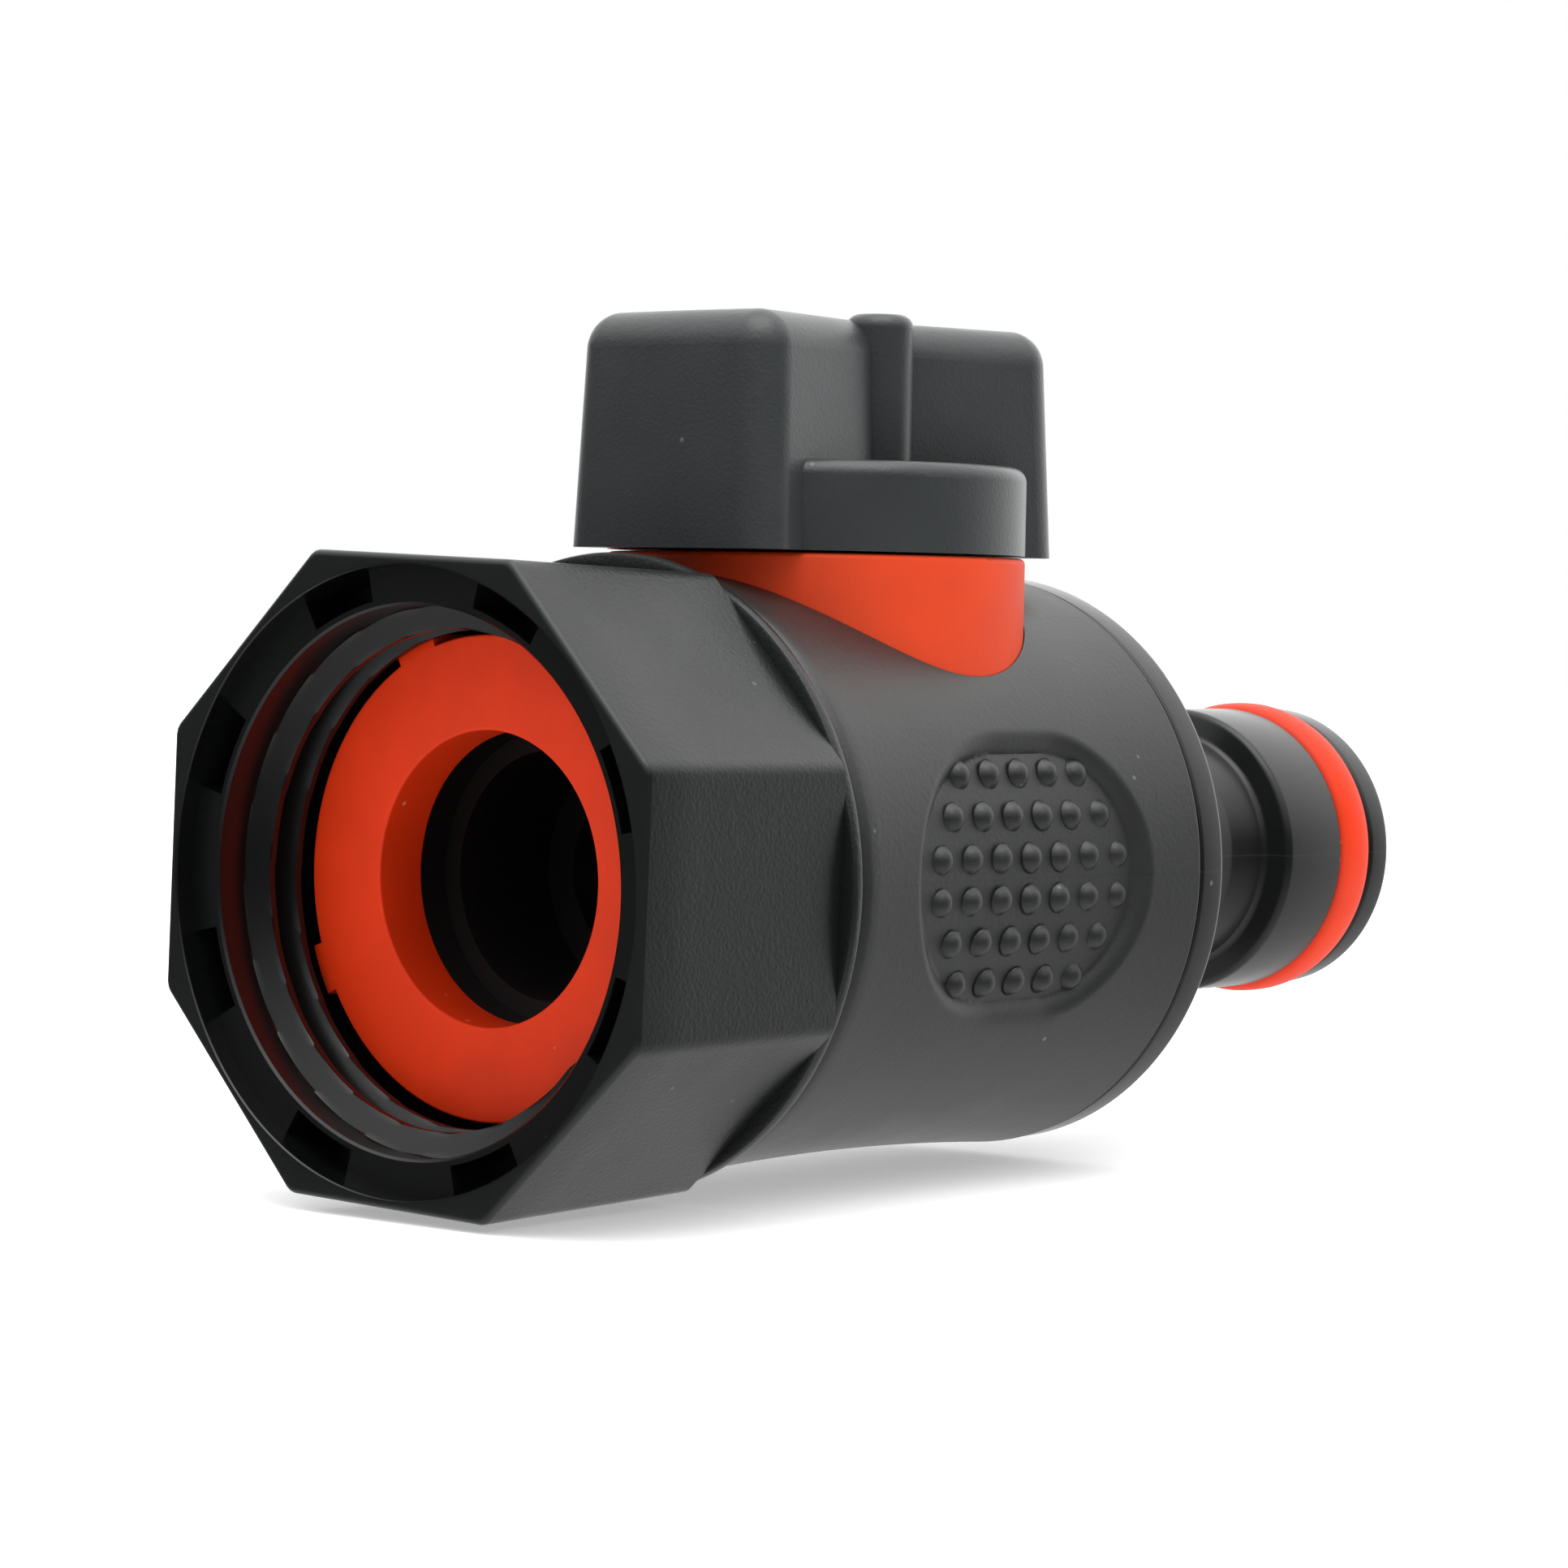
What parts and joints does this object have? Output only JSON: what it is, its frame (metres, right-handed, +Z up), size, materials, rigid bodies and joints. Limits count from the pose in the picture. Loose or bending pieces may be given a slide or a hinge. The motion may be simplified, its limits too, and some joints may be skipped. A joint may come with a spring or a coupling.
{
  "type": "garden hose shut-off valve",
  "caption": "In-line quarter-turn ball valve for a garden hose: swivel tap nut, T-handle, soft grip and quick-connect nipple.",
  "frame": {"origin": "centre of the inlet washer's sealing face, inside the swivel nut", "axes": "+X along the water flow from the tap nut to the quick-connect nipple, +Z up the valve stem to the handle"},
  "size_m": [0.074, 0.032, 0.0446],
  "materials": {
    "black_abs": "moulded black ABS, fine matt spark texture",
    "orange_rubber": "moulded orange-red rubber, satin",
    "black_nylon": "moulded black nylon, glossy",
    "orange_abs": "moulded orange ABS, matt",
    "grey_tpe": "overmoulded dark grey thermoplastic elastomer, matt",
    "grey_plastic": "moulded dark grey ABS, fine satin texture",
    "black_acetal": "turned black acetal, satin",
    "ptfe": "white PTFE, waxy",
    "black_rubber": "moulded black nitrile rubber",
    "steel": "zinc plated steel"
  },
  "bodies": {
    "body": {"inlet_washer": "orange_rubber", "inlet_spud": "black_nylon", "spud_o_ring": "black_rubber", "valve_body": "orange_abs", "grip_sleeve": "grey_tpe", "inlet_seat": "ptfe", "outlet_seat": "ptfe", "inlet_seat_o_ring": "black_rubber", "outlet_seat_o_ring": "black_rubber", "stem_thrust_washer": "ptfe", "outlet_nipple": "black_nylon", "nipple_seal_o_ring": "black_rubber", "outlet_o_ring": "orange_rubber"},
    "handle": {"handle": "grey_plastic", "handle_screw": "steel", "valve_stem": "black_acetal", "stem_o_ring_lower": "black_rubber", "stem_o_ring_upper": "black_rubber"},
    "ball": {"valve_ball": "black_acetal"},
    "nut": {"swivel_nut": "black_abs"}
  },
  "joints": [
    {"name": "handle_turn", "type": "hinge", "parent": "body", "child": "handle", "pos_m": [0.0247, 0, 0.0163], "axis": [0, 0, -1], "range_deg": [0, 90]},
    {"name": "ball_turn", "type": "hinge", "parent": "body", "child": "ball", "pos_m": [0.0247, 0, 0], "axis": [0, 0, -1], "range_deg": [0, 90]},
    {"name": "nut_spin", "type": "hinge", "parent": "body", "child": "nut", "pos_m": [0.0015, 0, 0], "axis": [1, 0, 0], "continuous": true}
  ],
  "couplings": [
    {"joint": "ball_turn", "follows": "handle_turn", "ratio": 1}
  ]
}
